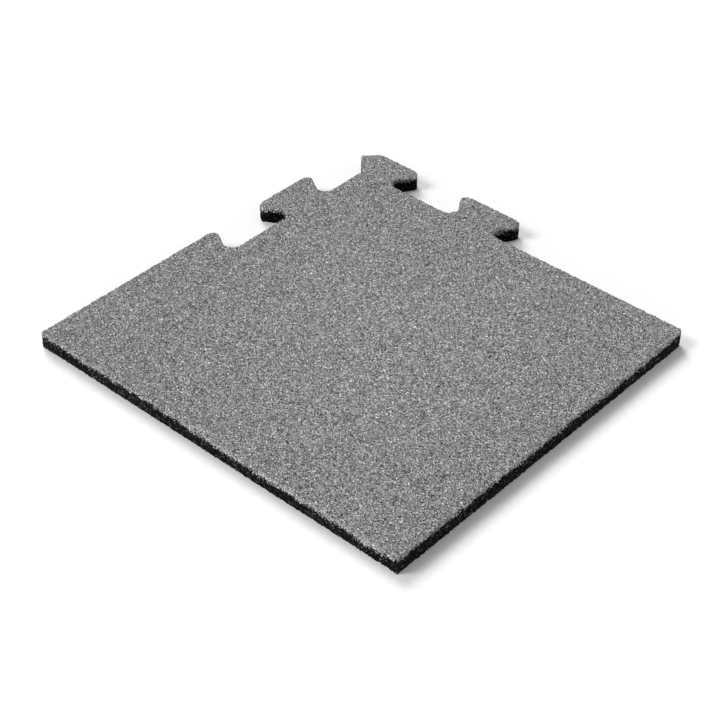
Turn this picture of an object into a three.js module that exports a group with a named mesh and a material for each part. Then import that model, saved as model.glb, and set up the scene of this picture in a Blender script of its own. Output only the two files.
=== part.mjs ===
// Interlocking rubber floor tile in two bonded layers: a black base and a grey wearing layer.
// Millimetres, +Z up. The tile lies flat on z = 0 with its outline centred on the origin.
// +X runs towards the side that ends in the corner tab, +Y towards the other interlocking side.

import * as THREE from 'three';

// Overall size
const TILE_SIZE = 500;
const BASE_THICKNESS = 14;
const TOP_THICKNESS = 6;

// Interlocking profile, the same on both of its sides. Widths are at half the depth.
const TAB_DEPTH = 42.5;
const TAB_WIDTH = 69;
// A notch is wider than a tab by this much on each side
const SIDE_PLAY = 7.75;
const FLANK_ANGLE = 32 * Math.PI / 180;
const HEAD_RADIUS = 7.5;
const NECK_RADIUS = 11;

// Centres of the two full tabs, each counted along its side from the outer corner between them
const TOP_TAB_FROM_CORNER = 135.5;
const RIGHT_TAB_FROM_CORNER = 208.5;

// Corner tab: it leaves the inner corner along the diagonal and its tip is cut off at 45 degrees
const TIP_CUT = 35.4;
const TIP_RADIUS = 4;

// The plain corner at the end of the side that is set back
const SET_BACK_CORNER_RADIUS = 6;

// Segments in half of the curve on one rounded corner
const CURVE_SEGMENTS = 12;

// Lines that the outline runs along, measured from the sharp near corner of the tile
const OUTER_LINE = TILE_SIZE;
const RECESS_LINE = OUTER_LINE - TAB_DEPTH;

// Where each flank crosses the half depth
const NOTCH_WIDTH = TAB_WIDTH + 2 * SIDE_PLAY;
const TOP_TAB_END = OUTER_LINE - TOP_TAB_FROM_CORNER + TAB_WIDTH / 2;
const TOP_TAB_START = TOP_TAB_END - TAB_WIDTH;
const TOP_PLAIN_END = TOP_TAB_START - NOTCH_WIDTH;
const RIGHT_TAB_START = OUTER_LINE - RIGHT_TAB_FROM_CORNER - TAB_WIDTH / 2;
const RIGHT_TAB_END = RIGHT_TAB_START + TAB_WIDTH;
const CORNER_TAB_START = RIGHT_TAB_END + NOTCH_WIDTH;

// A flank leans by this much between the half depth and either line
const FLANK_RUN = TAB_DEPTH / 2 * Math.tan(FLANK_ANGLE);

// The two corners of a flank, from the outer line inwards. side is +1 where the tab lies below the
// flank along its side, and -1 where it lies above it.
function flank(middle, side) {
  return [
    { along: middle + side * FLANK_RUN, across: OUTER_LINE, radius: HEAD_RADIUS },
    { along: middle - side * FLANK_RUN, across: RECESS_LINE, radius: NECK_RADIUS },
  ];
}

const onTopSide = ({ along, across, radius }) => ({ x: along, y: across, radius });
const onRightSide = ({ along, across, radius }) => ({ x: across, y: along, radius });

// Corners of the outline, anticlockwise from the sharp near corner
const corners = [
  { x: 0, y: 0, radius: 0 },
  { x: RECESS_LINE, y: 0, radius: SET_BACK_CORNER_RADIUS },
  ...flank(RIGHT_TAB_START, -1).reverse().map(onRightSide),
  ...flank(RIGHT_TAB_END, 1).map(onRightSide),
  ...flank(CORNER_TAB_START, -1).reverse().map(onRightSide),
  { x: OUTER_LINE, y: OUTER_LINE - TIP_CUT, radius: TIP_RADIUS },
  { x: OUTER_LINE - TIP_CUT / 2, y: OUTER_LINE - TIP_CUT / 2, radius: TIP_RADIUS },
  { x: RECESS_LINE, y: RECESS_LINE, radius: 0 },
  ...flank(TOP_TAB_END, 1).reverse().map(onTopSide),
  ...flank(TOP_TAB_START, -1).map(onTopSide),
  ...flank(TOP_PLAIN_END, 1).reverse().map(onTopSide),
  { x: 0, y: OUTER_LINE, radius: 0 },
];

// Draws a closed outline through the corners, with a true arc at each rounded one
function roundedOutline(points) {
  const shape = new THREE.Shape();
  points.forEach((corner, index) => {
    const before = points[(index + points.length - 1) % points.length];
    const after = points[(index + 1) % points.length];
    const here = new THREE.Vector2(corner.x, corner.y);
    const back = new THREE.Vector2(before.x, before.y).sub(here).normalize();
    const ahead = new THREE.Vector2(after.x, after.y).sub(here).normalize();
    const halfAngle = Math.acos(back.dot(ahead)) / 2;
    const trim = corner.radius / Math.tan(halfAngle);
    const start = here.clone().addScaledVector(back, trim);
    if (index === 0) {
      shape.moveTo(start.x, start.y);
    } else {
      shape.lineTo(start.x, start.y);
    }
    if (corner.radius > 0) {
      const end = here.clone().addScaledVector(ahead, trim);
      const inward = back.clone().add(ahead).normalize();
      const middle = here.clone().addScaledVector(inward, corner.radius / Math.sin(halfAngle));
      const from = start.clone().sub(middle).angle();
      const to = end.clone().sub(middle).angle();
      const clockwise = back.cross(ahead) > 0;
      shape.absarc(middle.x, middle.y, corner.radius, from, to, clockwise);
    }
  });
  shape.closePath();
  return shape;
}

const outline = roundedOutline(corners);

// One layer is the outline with a thickness, moved so the tile is centred on the origin
function layer(name, bottom, thickness, material) {
  const geometry = new THREE.ExtrudeGeometry(outline, {
    depth: thickness,
    bevelEnabled: false,
    curveSegments: CURVE_SEGMENTS,
  });
  geometry.translate(-TILE_SIZE / 2, -TILE_SIZE / 2, bottom);
  const mesh = new THREE.Mesh(geometry, material);
  mesh.name = name;
  return mesh;
}

const blackGranulate = new THREE.MeshStandardMaterial({
  name: 'black_granulate',
  color: '#17181a',
  roughness: 0.85,
  metalness: 0,
});

const greyGranulate = new THREE.MeshStandardMaterial({
  name: 'grey_granulate',
  color: '#8b8b8b',
  roughness: 0.9,
  metalness: 0,
});

const group = new THREE.Group();
group.name = 'gym_floor_tile';
group.add(layer('base_layer', 0, BASE_THICKNESS, blackGranulate));
group.add(layer('top_layer', BASE_THICKNESS, TOP_THICKNESS, greyGranulate));

export default group;
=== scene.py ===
# %% [markdown]
# # A rubber gym floor tile
#
# The real tile is pressed in a mould from rubber granules and a clear binder. Black crumb from old
# tyres makes the lower layer, and grey granules make a thinner wearing layer on top of it. Its
# surface is matt and grainy, its rims are crumbly, and the line between the two layers wanders by
# a few millimetres.
#
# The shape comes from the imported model. Blender adds what rubber granulate looks like: relief,
# crumbly rims, a wandering seam, and a colour for each granule. Sizes are in metres where nothing
# else is said.

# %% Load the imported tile
import math

import bpy
import numpy as np
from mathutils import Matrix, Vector, noise


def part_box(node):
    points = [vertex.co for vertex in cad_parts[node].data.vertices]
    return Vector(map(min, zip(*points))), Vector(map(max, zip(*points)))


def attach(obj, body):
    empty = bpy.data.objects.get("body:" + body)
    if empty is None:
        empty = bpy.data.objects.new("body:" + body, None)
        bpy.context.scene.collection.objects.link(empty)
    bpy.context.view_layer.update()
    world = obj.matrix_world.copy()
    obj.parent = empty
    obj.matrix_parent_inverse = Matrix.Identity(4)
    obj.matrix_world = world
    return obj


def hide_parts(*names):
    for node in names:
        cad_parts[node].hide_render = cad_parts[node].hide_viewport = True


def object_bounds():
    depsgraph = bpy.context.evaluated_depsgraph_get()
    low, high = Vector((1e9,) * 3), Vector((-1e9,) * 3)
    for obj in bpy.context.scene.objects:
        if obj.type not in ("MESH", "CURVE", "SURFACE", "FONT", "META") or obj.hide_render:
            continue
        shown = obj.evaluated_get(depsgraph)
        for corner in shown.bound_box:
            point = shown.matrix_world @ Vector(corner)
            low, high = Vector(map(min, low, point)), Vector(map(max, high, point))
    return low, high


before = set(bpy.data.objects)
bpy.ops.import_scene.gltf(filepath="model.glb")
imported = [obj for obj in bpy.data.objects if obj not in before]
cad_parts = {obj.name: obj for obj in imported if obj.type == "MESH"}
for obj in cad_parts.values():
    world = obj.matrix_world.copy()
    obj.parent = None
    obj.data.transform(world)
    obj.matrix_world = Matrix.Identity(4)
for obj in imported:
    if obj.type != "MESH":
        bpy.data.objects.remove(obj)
cad_low, cad_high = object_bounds()
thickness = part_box("top_layer")[1].z
seam_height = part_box("base_layer")[1].z
print(f"tile {1000 * (cad_high.x - cad_low.x):.0f} mm wide, {1000 * thickness:.0f} mm thick,"
      f" seam at {1000 * seam_height:.0f} mm")

# %% [markdown]
# ## Small helpers
#
# Colours are picked as sRGB hex values, as on a screen, but shaders work with linear light, so one
# function turns one into the other. Another adds a node with its options, values and links. Both
# the relief and the materials are node trees, so they share it.

# %% Helpers for colours and nodes


def linear(hex_colour):
    """An sRGB hex colour as linear red, green and blue, with full opacity."""
    channels = [int(hex_colour[i:i + 2], 16) / 255 for i in (1, 3, 5)]
    return [c / 12.92 if c <= 0.04045 else ((c + 0.055) / 1.055) ** 2.4 for c in channels] + [1.0]


def add_node(tree, kind, options=None, values=None, links=None):
    """A new node, with its own options, values on its sockets, and links from other sockets."""
    made = tree.nodes.new(kind)
    for name, option in (options or {}).items():
        setattr(made, name, option)
    for socket, value in (values or {}).items():
        made.inputs[socket].default_value = value
    for socket, source in (links or {}).items():
        tree.links.new(source, made.inputs[socket])
    return made


print("a mid grey granule is", [round(c, 3) for c in linear("#8b8b8b")[:3]], "in linear light")

# %% [markdown]
# The operators work on what is selected, so one function selects pieces. The shape is also moved
# vertex by vertex in a few places. Blender hands over all places at once as one long row of
# numbers, which is far quicker than asking each vertex.

# %% Helpers for pieces and their vertices


def pick(*pieces):
    """Selects only these pieces and makes the first one active."""
    bpy.ops.object.select_all(action="DESELECT")
    for piece in pieces:
        piece.select_set(True)
    bpy.context.view_layer.objects.active = pieces[0]


def vertex_places(piece):
    """Where the vertices are, as an array with a row of x, y and z for each."""
    places = np.zeros(len(piece.data.vertices) * 3, np.float32)
    piece.data.vertices.foreach_get("co", places)
    return places.reshape(-1, 3)


def put_vertices(piece, places):
    """Moves the vertices to these places."""
    piece.data.vertices.foreach_set("co", places.ravel())
    piece.data.update()


def count_triangles(piece):
    """How many triangles the faces come to."""
    return sum(len(face.vertices) - 2 for face in piece.data.polygons)


print("packed layers:", {name: count_triangles(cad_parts[name])
                         for name in ("base_layer", "top_layer")}, "triangles")

# %% [markdown]
# ## Join the two layers into one block
#
# The relief has to run over the seam without a step, because both layers are pressed in one go.
# So the tile is first made as one block, and cut into its layers later. Copies of the two packed
# layers are joined, the doubled vertices are merged, and the faces that touch inside are deleted.

# %% One closed block
SAME_PLACE = 1e-6  # vertices this close are one
ON_SEAM = 1e-5  # faces this close to the seam's height lie in it

copies = []
for name in ("base_layer", "top_layer"):
    piece = bpy.data.objects.new("copy_of_" + name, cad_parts[name].data.copy())
    bpy.context.collection.objects.link(piece)
    copies.append(piece)
pick(*copies)
bpy.ops.object.join()
block = copies[0]
block.name = "block"
block.data.materials.clear()

bpy.ops.object.mode_set(mode="EDIT")
bpy.ops.mesh.select_all(action="SELECT")
bpy.ops.mesh.remove_doubles(threshold=SAME_PLACE)
bpy.ops.mesh.select_mode(type="FACE")
bpy.ops.mesh.select_all(action="DESELECT")
bpy.ops.object.mode_set(mode="OBJECT")
for face in block.data.polygons:
    face.select = abs(face.center.z - seam_height) < ON_SEAM
bpy.ops.object.mode_set(mode="EDIT")
bpy.ops.mesh.delete(type="FACE")
bpy.ops.mesh.select_all(action="SELECT")
bpy.ops.mesh.normals_make_consistent(inside=False)
bpy.ops.object.mode_set(mode="OBJECT")
print("block:", len(block.data.vertices), "vertices,", len(block.data.polygons), "faces")

# %% [markdown]
# ## An even skin of small faces
#
# Relief needs vertices to move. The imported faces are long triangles, so a voxel remesh lays an
# even grid of small squares over the block. Granules measure 1 to 3 mm. The grid can follow the
# bigger ones, and the material draws the small ones.

# %% Remesh the block
GRID = 0.001

grid = block.modifiers.new("even_grid", "REMESH")
grid.mode = "VOXEL"
grid.voxel_size = GRID
bpy.ops.object.modifier_apply(modifier="even_grid")
print("block:", len(block.data.polygons), "faces, one side", 1000 * GRID, "mm")

# %% [markdown]
# ## Granule relief
#
# Pressed granules lie flush with the mould, with small hollows where they meet. Here and there one
# lies deeper or has come out. A Voronoi pattern cuts space into cells, so each cell is a granule:
# its middle keeps its height, its border sinks, and one cell in five sinks as a whole, by a depth
# of its own. The nodes only push inwards, so the tile never grows past its real size.

# %% Draw the relief as geometry nodes
BIG_GRANULE = 0.0024
HOLLOW_DEPTH = 0.0006  # at the border of a granule
MISSING_DEPTH = 0.0009  # the most that a whole granule sinks
FLAT_PART, BORDER_PART = 0.25, 0.75  # from the middle of a granule, in granule widths
FULL_SHARE = 0.80  # this share of the granules keeps its full height

relief = bpy.data.node_groups.new("granule_relief", "GeometryNodeTree")
relief.interface.new_socket("Geometry", in_out="INPUT", socket_type="NodeSocketGeometry")
relief.interface.new_socket("Geometry", in_out="OUTPUT", socket_type="NodeSocketGeometry")
block_in = add_node(relief, "NodeGroupInput")
place = add_node(relief, "GeometryNodeInputPosition")
skin_normal = add_node(relief, "GeometryNodeInputNormal")
cells = add_node(relief, "ShaderNodeTexVoronoi", {"feature": "F1"},
                 {"Scale": 1 / BIG_GRANULE, "Randomness": 1.0}, {"Vector": place.outputs[0]})
border = add_node(relief, "ShaderNodeMapRange", {"interpolation_type": "SMOOTHSTEP"},
                  {"From Min": FLAT_PART, "From Max": BORDER_PART,
                   "To Min": 0.0, "To Max": HOLLOW_DEPTH}, {"Value": cells.outputs["Distance"]})
chance = add_node(relief, "FunctionNodeSeparateColor", links={"Color": cells.outputs["Color"]})
missing = add_node(relief, "ShaderNodeMapRange", None,
                   {"From Min": FULL_SHARE, "From Max": 1.0, "To Min": 0.0,
                    "To Max": MISSING_DEPTH}, {"Value": chance.outputs["Red"]})
sink = add_node(relief, "ShaderNodeMath", {"operation": "ADD"}, None,
                {0: border.outputs[0], 1: missing.outputs[0]})
inwards = add_node(relief, "ShaderNodeMath", {"operation": "MULTIPLY"}, {1: -1.0},
                   {0: sink.outputs[0]})
push = add_node(relief, "ShaderNodeVectorMath", {"operation": "SCALE"}, None,
                {0: skin_normal.outputs[0], "Scale": inwards.outputs[0]})
moved = add_node(relief, "GeometryNodeSetPosition", None, None,
                 {"Geometry": block_in.outputs[0], "Offset": push.outputs[0]})
add_node(relief, "NodeGroupOutput", links={0: moved.outputs[0]})
print("relief:", len(relief.nodes), "nodes, granules", 1000 * BIG_GRANULE, "mm wide")

# %% Press the relief into the block
pressing = block.modifiers.new("granule_relief", "NODES")
pressing.node_group = relief
bpy.ops.object.modifier_apply(modifier="granule_relief")
heights = [v.co.z for v in block.data.vertices]
print(f"relief: z from {1000 * min(heights):.2f} to {1000 * max(heights):.2f} mm")

# %% [markdown]
# ## Fewer faces where they show least
#
# Walls and rims need every face, because they show the granules in profile. The wide flat faces
# can give up about three in four of theirs. Decimate removes the flattest first, so the relief
# stays, and a vertex group holds it to the two bands of height where the wide faces lie.

# %% Thin out the two wide faces
PER_LAYER = 170000  # triangles
UNDERSIDE_BAND, TOP_BAND = 0.0025, 0.0015

wide = block.vertex_groups.new(name="wide_faces")
z = vertex_places(block)[:, 2]
is_wide = (z < UNDERSIDE_BAND) | (z > thickness - TOP_BAND)
wide.add(np.nonzero(is_wide)[0].tolist(), 1.0, "REPLACE")
triangles = count_triangles(block)
thin = block.modifiers.new("thin_out", "DECIMATE")
thin.ratio = min(1.0, 2 * PER_LAYER / triangles)
thin.vertex_group = "wide_faces"
bpy.ops.object.modifier_apply(modifier="thin_out")
block.vertex_groups.clear()
print("block:", triangles, "triangles, now", count_triangles(block))

# Thinning may leave a vertex a hair outside, where the mould would have pressed it flush
pressed = np.clip(vertex_places(block), cad_low, cad_high).astype(np.float32)
put_vertices(block, pressed)

# %% [markdown]
# ## A wandering seam
#
# The wearing layer is spread by hand over the black crumb before pressing, so the line between
# them rises and falls by a few millimetres. Its height was read at a few places along the two
# front sides and under the tabs. Between them it is blended by distance, and noise adds the wander
# from granule to granule. It stays below the relief of the walking surface, so the wearing layer
# has no hole.

# %% The height of the seam
SEAM_READINGS = [  # x, y, height above the floor, all in millimetres
    (-250, 250, 14.8), (-250, 80, 15.7), (-250, -80, 13.1), (-250, -215, 10.8),
    (-250, -250, 17.5), (-215, -250, 18.0), (-120, -250, 18.0), (0, -250, 17.2),
    (90, -250, 14.8), (160, -250, 14.4), (207, -250, 17.6), (207, -60, 14.5),
    (250, 40, 14.5), (250, 200, 15.0), (180, 250, 14.5), (115, 250, 14.5),
    (-100, 250, 13.5), (0, 0, 14.0)]
BLEND = 1e-4  # a reading counts most within the square root of this, 10 mm
LONG_WAVES, SHORT_WAVES = (70, 9.0, 0.0022), (220, 3.0, 0.0016)  # per metre, slice, height
LEAST_COVER = 0.0018  # how far the seam stays below the walking surface


def wave(x, y, waves):
    """How much noise lifts the seam at a place."""
    per_metre, noise_slice, height = waves
    return height * noise.noise(Vector((x * per_metre, y * per_metre, noise_slice)))


def seam_shift(x, y):
    """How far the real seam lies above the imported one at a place, in metres."""
    weights = [1 / ((x - a / 1000) ** 2 + (y - b / 1000) ** 2 + BLEND) for a, b, _ in SEAM_READINGS]
    slow = sum(w * height for w, (_, _, height) in zip(weights, SEAM_READINGS)) / sum(weights)
    height = slow / 1000 + wave(x, y, LONG_WAVES) + wave(x, y, SHORT_WAVES)
    return min(height, thickness - LEAST_COVER) - seam_height


print(f"seam: {1000 * (seam_height + seam_shift(cad_low.x, cad_low.y)):.1f} mm at the near corner,"
      f" {1000 * (seam_height + seam_shift(0, 0)):.1f} mm in the middle")

# %% [markdown]
# ## Cut the block along the seam
#
# A bisect only cuts flat. So each vertex is first moved down by the height of the seam at its
# place, the flat cut is made, and all are moved back: the flat cut has become a wandering one.
# Both layers get the same cut, so they still fit exactly. The face that closes it is split into
# triangles while it is flat, because a bent one with a thousand corners could be drawn across a
# notch. Its rim is marked sharp for the smooth shading.

# %% Two layers from one block
CUT_TOLERANCE = 1e-7  # a bigger one would pull the granules' edges onto the cut


def warp(piece, sign):
    """Moves each vertex down (-1) or back up (+1) by the height of the seam at its place."""
    places = vertex_places(piece)
    shift = np.array([seam_shift(float(x), float(y)) for x, y in places[:, :2]], np.float32)
    places[:, 2] += sign * shift
    put_vertices(piece, places)


def cut_layer(name, keep_above):
    """One layer: the block above or below the wandering seam, closed again by a face."""
    layer = bpy.data.objects.new(name, block.data.copy())
    layer.data.name = name
    bpy.context.collection.objects.link(layer)
    warp(layer, -1)
    pick(layer)
    bpy.ops.object.mode_set(mode="EDIT")
    bpy.ops.mesh.select_all(action="SELECT")
    bpy.ops.mesh.bisect(plane_co=(0, 0, seam_height), plane_no=(0, 0, 1), use_fill=True,
                        clear_inner=keep_above, clear_outer=not keep_above,
                        threshold=CUT_TOLERANCE)
    bpy.ops.mesh.mark_sharp()
    bpy.ops.mesh.quads_convert_to_tris(ngon_method="BEAUTY")
    bpy.ops.object.mode_set(mode="OBJECT")
    warp(layer, 1)
    return layer


wearing_layer = cut_layer("grey_wearing_layer", keep_above=True)
crumb_layer = cut_layer("black_crumb_layer", keep_above=False)
layers = (wearing_layer, crumb_layer)
bpy.data.objects.remove(block)
for layer in layers:
    print(layer.name, count_triangles(layer), "triangles")

# %% [markdown]
# ## How far above the seam?
#
# Granules of the two kinds lie side by side along the seam. Each material has to know how far a
# point is above it, so that is kept on the mesh, in granule widths. These granules are finer than
# those of the relief, down to what still shows in the picture.

# %% Store the height above the seam
GRANULE = 0.0011

for layer in layers:
    above = layer.data.attributes.new("above_seam", "FLOAT", "POINT")
    above.data.foreach_set("value", [
        (v.co.z - seam_height - seam_shift(v.co.x, v.co.y)) / GRANULE for v in layer.data.vertices])
print("stored for", sum(len(layer.data.vertices) for layer in layers), "vertices")

# %% [markdown]
# ## Granules in a material
#
# The grey wearing layer is EPDM, a synthetic rubber that is coloured right through and cut into
# granules. The black base is crumb from car tyres. Both look alike but for their shades, so their
# materials are built by the same functions.
#
# A Voronoi pattern cuts space into cells here too. Noise bends their straight borders, because no
# two cut granules are alike. One pattern gives each granule its random draws and the place of its
# middle, and a second one with the same cells gives the distance to the border.

# %% Cut space into fine granules
WOBBLE_SCALE = 900.0  # noise as coarse as a granule, 1.1 mm
WOBBLE = 0.0008  # it moves a border by up to half of this, either way


def granules(tree):
    """The place that is shaded, the granule it lies in, and how far that one's border is."""
    place = add_node(tree, "ShaderNodeTexCoord").outputs["Object"]
    wobble = add_node(tree, "ShaderNodeTexNoise", None,
                      {"Scale": WOBBLE_SCALE, "Detail": 1.0, "Roughness": 0.5}, {"Vector": place})
    centred = add_node(tree, "ShaderNodeVectorMath", {"operation": "SUBTRACT"},
                       {1: (0.5, 0.5, 0.5)}, {0: wobble.outputs["Color"]})
    bent = add_node(tree, "ShaderNodeVectorMath", {"operation": "MULTIPLY_ADD"},
                    {1: (WOBBLE, WOBBLE, WOBBLE)}, {0: centred.outputs[0], 2: place})
    cell, edge = [add_node(tree, "ShaderNodeTexVoronoi", {"feature": feature},
                           {"Scale": 1 / GRANULE}, {"Vector": bent.outputs[0]})
                  for feature in ("F1", "DISTANCE_TO_EDGE")]
    return place, cell, edge.outputs["Distance"]


print("fine granules:", 1000 * GRANULE, "mm wide")

# %% [markdown]
# Along the seam some granules of each kind have strayed into the other layer, up to three granules
# deep. Whether one has is a random draw for the whole granule, set against the height of its
# middle above the seam. So the same granule comes out the same in both layers, and the cut through
# it doesn't show. No crumb reaches the walking surface, where the seam comes close to it.

# %% Tell which granules have strayed
CRUMB_REACH, GREY_REACH = 2.9, 2.6  # granule widths that each kind strays past the seam
ALL_GREY_ABOVE = thickness - 0.0022


def has_strayed(tree, place, cell, draw, other_side):
    """1 where the granule comes from the layer on the other side, "above" or "below", else 0."""
    above = add_node(tree, "ShaderNodeAttribute", {"attribute_name": "above_seam"})
    middle = add_node(tree, "ShaderNodeSeparateXYZ", links={"Vector": cell.outputs["Position"]})
    here = add_node(tree, "ShaderNodeSeparateXYZ", links={"Vector": place})
    rise = add_node(tree, "ShaderNodeMath", {"operation": "SUBTRACT"}, None,
                    {0: middle.outputs["Z"], 1: here.outputs["Z"]})
    in_granules = add_node(tree, "ShaderNodeMath", {"operation": "MULTIPLY_ADD"}, {1: 1 / GRANULE},
                           {0: rise.outputs[0], 2: above.outputs["Fac"]})
    stray = add_node(tree, "ShaderNodeMath", {"operation": "MULTIPLY_ADD"},
                     {1: CRUMB_REACH + GREY_REACH, 2: -CRUMB_REACH}, {0: draw})
    level = add_node(tree, "ShaderNodeMath", {"operation": "ADD"}, None,
                     {0: in_granules.outputs[0], 1: stray.outputs[0]})
    near_top = add_node(tree, "ShaderNodeMath", {"operation": "SUBTRACT"}, {1: ALL_GREY_ABOVE},
                        {0: middle.outputs["Z"]})
    higher = add_node(tree, "ShaderNodeMath", {"operation": "MAXIMUM"}, None,
                      {0: level.outputs[0], 1: near_top.outputs[0]})
    crossed = add_node(tree, "ShaderNodeMath",
                       {"operation": "GREATER_THAN" if other_side == "above" else "LESS_THAN"},
                       {1: 0.0}, {0: higher.outputs[0]})
    return crossed.outputs[0]


print(f"strays: crumb {1000 * CRUMB_REACH * GRANULE:.1f} mm up,"
      f" grey {1000 * GREY_REACH * GRANULE:.1f} mm down")

# %% [markdown]
# Each granule has its own shade: a random draw picks it along a row of shades that blend into each
# other, each at the share of draws that lie below it. A fine noise mottles it, and painted shade
# darkens the gaps between granules, where the pits would lie in shadow.

# %% Colour the granules
MOTTLE_SCALE = 1800.0  # patches of half a granule
MOTTLE = 0.14  # how much lighter or darker they are
# Painted shade in the gaps between granules: how wide it is, and how much of its colour shows at the
# border
GAP_SHADE_WIDTH = 0.16  # from the border, in granule widths
GAP_SHADE_SHARE = 0.75  # how much of the hollow's colour shows at the border


def shade_granules(tree, draw, crossed, own, other):
    """Each granule's shade: this layer's own or, where it has strayed, the other layer's."""
    ramps = []
    for shades in (own, other):
        ramp = add_node(tree, "ShaderNodeValToRGB", None, None, {"Fac": draw})
        stops = ramp.color_ramp.elements
        while len(stops) < len(shades):
            stops.new(0.5)
        for stop, (share, colour) in zip(stops, shades):
            stop.position, stop.color = share, linear(colour)
        ramps.append(ramp.outputs["Color"])
    mixed = add_node(tree, "ShaderNodeMix", {"data_type": "RGBA"}, None,
                     {"Factor": crossed, "A": ramps[0], "B": ramps[1]})
    return mixed.outputs["Result"]


def mottle_and_painted_gap_shade(tree, colour, mottle, border_distance, painted_gap_shade):
    """The granule's colour with its fine mottle, and painted shade that darkens it towards its
    border.
    """
    fine = add_node(tree, "ShaderNodeMapRange", None,
                    {"From Min": 0.3, "From Max": 0.7, "To Min": 1 - MOTTLE, "To Max": 1 + MOTTLE},
                    {"Value": mottle})
    mottled = add_node(tree, "ShaderNodeVectorMath", {"operation": "SCALE"}, None,
                       {0: colour, "Scale": fine.outputs[0]})
    # Painted shade: the colour darkens towards each granule's border, as a pit between granules
    # would in shadow
    gap_shade_mask = add_node(tree, "ShaderNodeMapRange", {"interpolation_type": "SMOOTHSTEP"},
                   {"From Min": 0.0, "From Max": GAP_SHADE_WIDTH, "To Min": 1.0, "To Max": 0.0},
                   {"Value": border_distance})
    gap_shade_amount = add_node(tree, "ShaderNodeMath", {"operation": "MULTIPLY"}, {1: GAP_SHADE_SHARE},
                     {0: gap_shade_mask.outputs[0]})
    coloured = add_node(tree, "ShaderNodeMix", {"data_type": "RGBA"}, {"B": linear(painted_gap_shade)},
                        {"Factor": gap_shade_amount.outputs[0], "A": mottled.outputs[0]})
    return coloured.outputs["Result"]


print(f"hollows: {1000 * GAP_SHADE_WIDTH * GRANULE:.2f} mm on each side of a border")

# %% [markdown]
# The last function puts it together. A bump makes each granule a small dome, which catches the
# light in its own way. Rubber has an index of refraction near 1.5, and one granule is a little
# rougher than the next.

# %% Bonded granulate
RUBBER_IOR = 1.5
DOME_WIDTH = 0.45  # from the border to the flat top of the dome, in granule widths
GRAIN_HEIGHT = 0.35  # of the mottle, next to a dome of 1
BUMP_STRENGTH, BUMP_HEIGHT = 0.6, 0.0005


def granulate(name, own, other, other_side, painted_gap_shade, roughness, gloss):
    """A material of bonded granules. own and other are the shades of this layer and the next."""
    material = bpy.data.materials.new(name)
    material.use_nodes = True
    tree = material.node_tree
    shader = tree.nodes["Principled BSDF"]
    place, cell, border_distance = granules(tree)
    draws = add_node(tree, "ShaderNodeSeparateColor", links={"Color": cell.outputs["Color"]})
    mottle = add_node(tree, "ShaderNodeTexNoise", None,
                      {"Scale": MOTTLE_SCALE, "Detail": 2.0, "Roughness": 0.6},
                      {"Vector": place}).outputs["Fac"]

    # The same draw picks a granule's shade in either layer, so none changes where the cut is
    crossed = has_strayed(tree, place, cell, draws.outputs["Blue"], other_side)
    shade = shade_granules(tree, draws.outputs["Green"], crossed, own, other)
    colour = mottle_and_painted_gap_shade(tree, shade, mottle, border_distance, painted_gap_shade)
    tree.links.new(colour, shader.inputs["Base Color"])

    rough = add_node(tree, "ShaderNodeMapRange", None,
                     {"To Min": roughness[0], "To Max": roughness[1]},
                     {"Value": draws.outputs["Red"]})
    tree.links.new(rough.outputs[0], shader.inputs["Roughness"])

    dome = add_node(tree, "ShaderNodeMapRange", {"interpolation_type": "SMOOTHSTEP"},
                    {"From Min": 0.0, "From Max": DOME_WIDTH}, {"Value": border_distance})
    height = add_node(tree, "ShaderNodeMath", {"operation": "MULTIPLY_ADD"}, {1: GRAIN_HEIGHT},
                      {0: mottle, 2: dome.outputs[0]})
    bump = add_node(tree, "ShaderNodeBump", None,
                    {"Strength": BUMP_STRENGTH, "Distance": BUMP_HEIGHT},
                    {"Height": height.outputs[0]})
    tree.links.new(bump.outputs[0], shader.inputs["Normal"])
    shader.inputs["IOR"].default_value = RUBBER_IOR
    shader.inputs["Specular IOR Level"].default_value = gloss
    print(name, "has", len(tree.nodes), "nodes")
    return material


# %% [markdown]
# ## The two kinds of rubber
#
# The grey EPDM granules run from nearly black to white, most of them mid grey. The broken faces of
# the tyre crumb scatter very little light, and the hollows between them swallow most of what is
# left, so it needs hardly any gloss.

# %% Grey EPDM and black tyre crumb
GREYS = [(0.0, "#0b0c0d"), (0.2, "#616161"), (0.5, "#959595"), (0.8, "#b2b2b2"), (0.95, "#d3d3d3"),
         (0.985, "#ffffff")]
BLACKS = [(0.0, "#020203"), (0.5, "#050506"), (0.8, "#15171a"), (0.92, "#2c2f34"),
          (0.99, "#6e747b")]
# Each material's hollow colour is painted shade, laid into the gaps between its granules
epdm = granulate("bonded_grey_epdm_granulate", GREYS, BLACKS, "below", painted_gap_shade="#262627",
                 roughness=(0.82, 0.95), gloss=0.3)
crumb = granulate("bonded_black_tyre_crumb", BLACKS, GREYS, "above", painted_gap_shade="#020202",
                  roughness=(0.7, 0.9), gloss=0.05)
wearing_layer.data.materials.append(epdm)
crumb_layer.data.materials.append(crumb)
for layer in layers:
    pick(layer)
    bpy.ops.object.shade_smooth()

# %% [markdown]
# ## Put the layers in place of the plain ones
#
# Each new layer stands for the imported layer that it was made from, and rides on the one body there
# is.

# %% Stand in for the imported layers
for layer, node, slot in ((crumb_layer, "base_layer", "black_granulate"),
                          (wearing_layer, "top_layer", "grey_granulate")):
    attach(layer, "root")
    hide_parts(node)
    print(layer.name, "stands for", node)

# %% [markdown]
# ## Camera
#
# The lens, height and turn were found by laying the tile's outline over the photograph: a long
# lens, about 39 degrees above the floor, with the sharp corner nearest to it. The camera is
# placed by where it looks, in which direction, and from how far.

# %% Place the camera
LENS, FILM_WIDTH = 89.8, 36  # in millimetres
TURN = math.radians(42.159)
DOWN = math.radians(38.916)
DISTANCE = 1.85878
target = Vector((-0.059714, -0.032569, thickness))
forward = Vector((math.cos(TURN) * math.cos(DOWN), math.sin(TURN) * math.cos(DOWN),
                  -math.sin(DOWN)))

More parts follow.
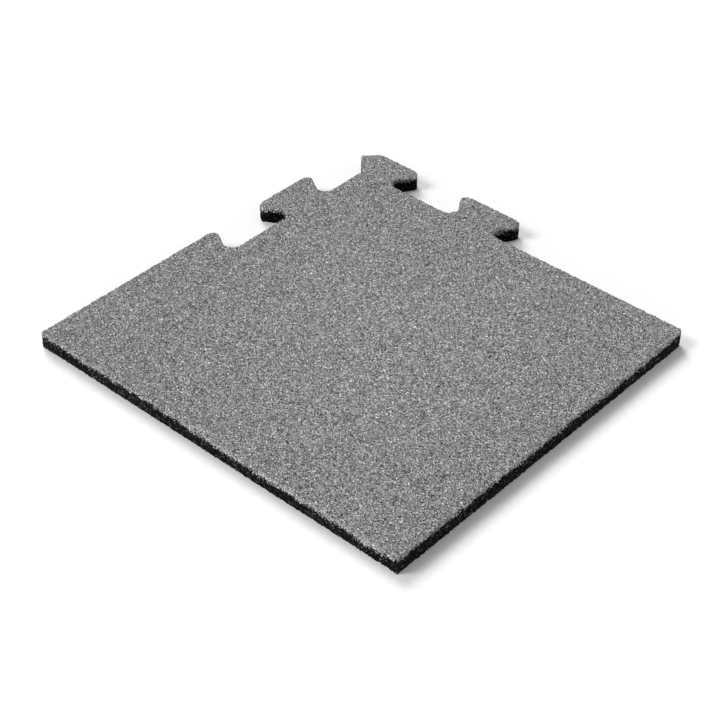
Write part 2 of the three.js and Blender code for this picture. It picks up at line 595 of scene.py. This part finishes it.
camera_data = bpy.data.cameras.new("camera")
camera_data.lens = LENS
camera_data.sensor_width = FILM_WIDTH
camera = bpy.data.objects.new("camera", camera_data)
bpy.context.collection.objects.link(camera)
camera.location = target - DISTANCE * forward
camera.rotation_euler = forward.to_track_quat("-Z", "Y").to_euler()
bpy.context.scene.camera = camera
print("camera at", [round(c, 3) for c in camera.location])

# %% [markdown]
# ## Floor
#
# The tile lies on a plain white floor, which is wide enough to fill the picture from any side. It
# lies a hair below the tile, because two faces in the same place would flicker.

# %% Lay the floor
FLOOR_WIDTH, FLOOR_GAP = 40, 0.0002

bpy.ops.mesh.primitive_plane_add(size=FLOOR_WIDTH, location=(0, 0, -FLOOR_GAP))
floor = bpy.context.active_object
floor.name = "floor"
white_floor = bpy.data.materials.new("white_studio_floor")
white_floor.use_nodes = True
floor_shader = white_floor.node_tree.nodes["Principled BSDF"]
floor_shader.inputs["Base Color"].default_value = linear("#f5f5f5")
floor_shader.inputs["Roughness"].default_value = 0.9
floor_shader.inputs["Specular IOR Level"].default_value = 0.2
floor.data.materials.append(white_floor)
print("floor", FLOOR_WIDTH, "m wide")

# %% [markdown]
# ## Light
#
# The light is that of a plain studio. One lamp on the left and one behind the tile throw a soft
# shadow forwards and to the right. A low one in front lights the two thin sides and hardly reaches
# the floor. They are broad, so their shadows fade out.

# %% Set the three far lamps


def add_lamp(name, travel, height, strength, spread):
    """A broad far lamp. travel is where its light goes on the floor, height its angle above it."""
    lamp_data = bpy.data.lights.new(name, "SUN")
    lamp_data.angle = math.radians(spread)
    lamp_data.energy = strength
    lamp = bpy.data.objects.new(name, lamp_data)
    bpy.context.collection.objects.link(lamp)
    along = Vector(travel).normalized() * math.cos(math.radians(height))
    down = Vector((along.x, along.y, -math.sin(math.radians(height))))
    lamp.rotation_euler = down.to_track_quat("-Z", "Y").to_euler()
    print(name, "adds", round(strength * math.sin(math.radians(height)) / math.pi, 2),
          "to the floor's brightness")


add_lamp("side_lamp", travel=(0.80, -0.60), height=42, strength=1.55, spread=24)
add_lamp("back_lamp", travel=(-0.41, -0.91), height=42, strength=2.02, spread=28)
add_lamp("low_front_lamp", travel=(0.89, 0.46), height=5, strength=2.5, spread=8)

# %% [markdown]
# A spot lamp straight above makes the middle of the tile a little lighter. Its pool of light fades
# out before the border, so it changes no shadow. A white surround fills the shadows. Its full
# white would wash them out, so it gives less light than the camera sees in it.

# %% Set the overhead lamp and the surround
POOL_MIDDLE = Vector((-0.015, -0.025, thickness))
POOL_RADIUS, POOL_HEIGHT = 0.22, 2.0
POOL_WATTS, POOL_LAMP_RADIUS = 19.5, 0.1
SURROUND = 0.34  # its light, where the floor's full brightness is about 1

pool_data = bpy.data.lights.new("overhead_lamp", "SPOT")
pool_data.energy = POOL_WATTS
pool_data.spot_size = 2 * math.atan(POOL_RADIUS / POOL_HEIGHT)
pool_data.spot_blend = 1.0
pool_data.shadow_soft_size = POOL_LAMP_RADIUS
overhead_lamp = bpy.data.objects.new("overhead_lamp", pool_data)
bpy.context.collection.objects.link(overhead_lamp)
overhead_lamp.location = POOL_MIDDLE + Vector((0, 0, POOL_HEIGHT))

world = bpy.data.worlds.new("white_surround")
world.use_nodes = True
surround = world.node_tree.nodes["Background"]
surround.inputs["Color"].default_value = (1, 1, 1, 1)
ray = add_node(world.node_tree, "ShaderNodeLightPath")
seen = add_node(world.node_tree, "ShaderNodeMath", {"operation": "MULTIPLY_ADD"},
                {1: 1 - SURROUND, 2: SURROUND}, {0: ray.outputs["Is Camera Ray"]})
world.node_tree.links.new(seen.outputs[0], surround.inputs["Strength"])
bpy.context.scene.world = world
bpy.context.scene.view_settings.view_transform = "Standard"
print(f"pool of light {2000 * POOL_RADIUS:.0f} mm wide, surround {SURROUND} of white")
